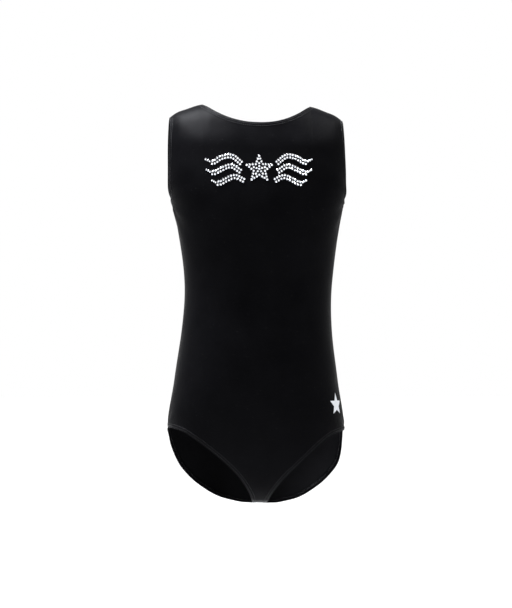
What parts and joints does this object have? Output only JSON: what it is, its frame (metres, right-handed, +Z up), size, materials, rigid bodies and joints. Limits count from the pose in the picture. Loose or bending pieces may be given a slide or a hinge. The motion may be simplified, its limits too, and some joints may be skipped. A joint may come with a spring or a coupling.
{
  "type": "gymnastics leotard",
  "caption": "Child's sleeveless tank leotard in stretch cloth with scoop neck, elastic hems, crotch lining, crystal star and streamers on the chest.",
  "frame": {"origin": "midway between the highest points of the two shoulder seams, where shoulders or a hanger carry the garment", "axes": "+Z up along the body, -Y to the wearer's front, +X to the wearer's left"},
  "size_m": [0.2378, 0.1844, 0.532],
  "materials": {
    "cloth": "smooth black nylon and elastane stretch knit with a soft satin sheen",
    "lining": "matt black stretch mesh",
    "elastic": "black cotton-covered swimwear elastic",
    "thread": "black textured polyester thread",
    "tape": "clear stay tape",
    "crystal": "faceted clear crystal on a silver foil back",
    "emblem": "silver heat-transfer foil",
    "label": "white satin ribbon, blank"
  },
  "bodies": {
    "garment": {"front_panel": "cloth", "back_panel": "cloth", "front_lining": "lining", "crotch_lining": "lining", "neck_elastic": "elastic", "armhole_elastic_right": "elastic", "armhole_elastic_left": "elastic", "leg_elastic_right": "elastic", "leg_elastic_left": "elastic", "neck_hem_stitch": "thread", "armhole_hem_stitch_right": "thread", "armhole_hem_stitch_left": "thread", "leg_hem_stitch_right": "thread", "leg_hem_stitch_left": "thread", "shoulder_seam_thread_right": "thread", "shoulder_seam_thread_left": "thread", "side_seam_thread_right": "thread", "side_seam_thread_left": "thread", "crotch_seam_thread": "thread", "shoulder_stay_tape_right": "tape", "shoulder_stay_tape_left": "tape", "crystal_star": "crystal", "crystal_streamer_upper_right": "crystal", "crystal_streamer_middle_right": "crystal", "crystal_streamer_lower_right": "crystal", "crystal_streamer_upper_left": "crystal", "crystal_streamer_middle_left": "crystal", "crystal_streamer_lower_left": "crystal", "hip_emblem": "emblem", "size_label_stitch": "thread"},
    "size_label": {"size_label": "label"},
    "care_label": {"care_label": "label"}
  },
  "joints": [
    {"name": "size_label_flip", "type": "hinge", "parent": "garment", "child": "size_label", "pos_m": [0, 0.0655, -0.071], "axis": [-1, 0, 0], "range_deg": [0, 150]},
    {"name": "care_label_flip", "type": "hinge", "parent": "garment", "child": "care_label", "pos_m": [0.0948, 0, -0.24], "axis": [0, 0, 1], "range_deg": [0, 146]}
  ]
}
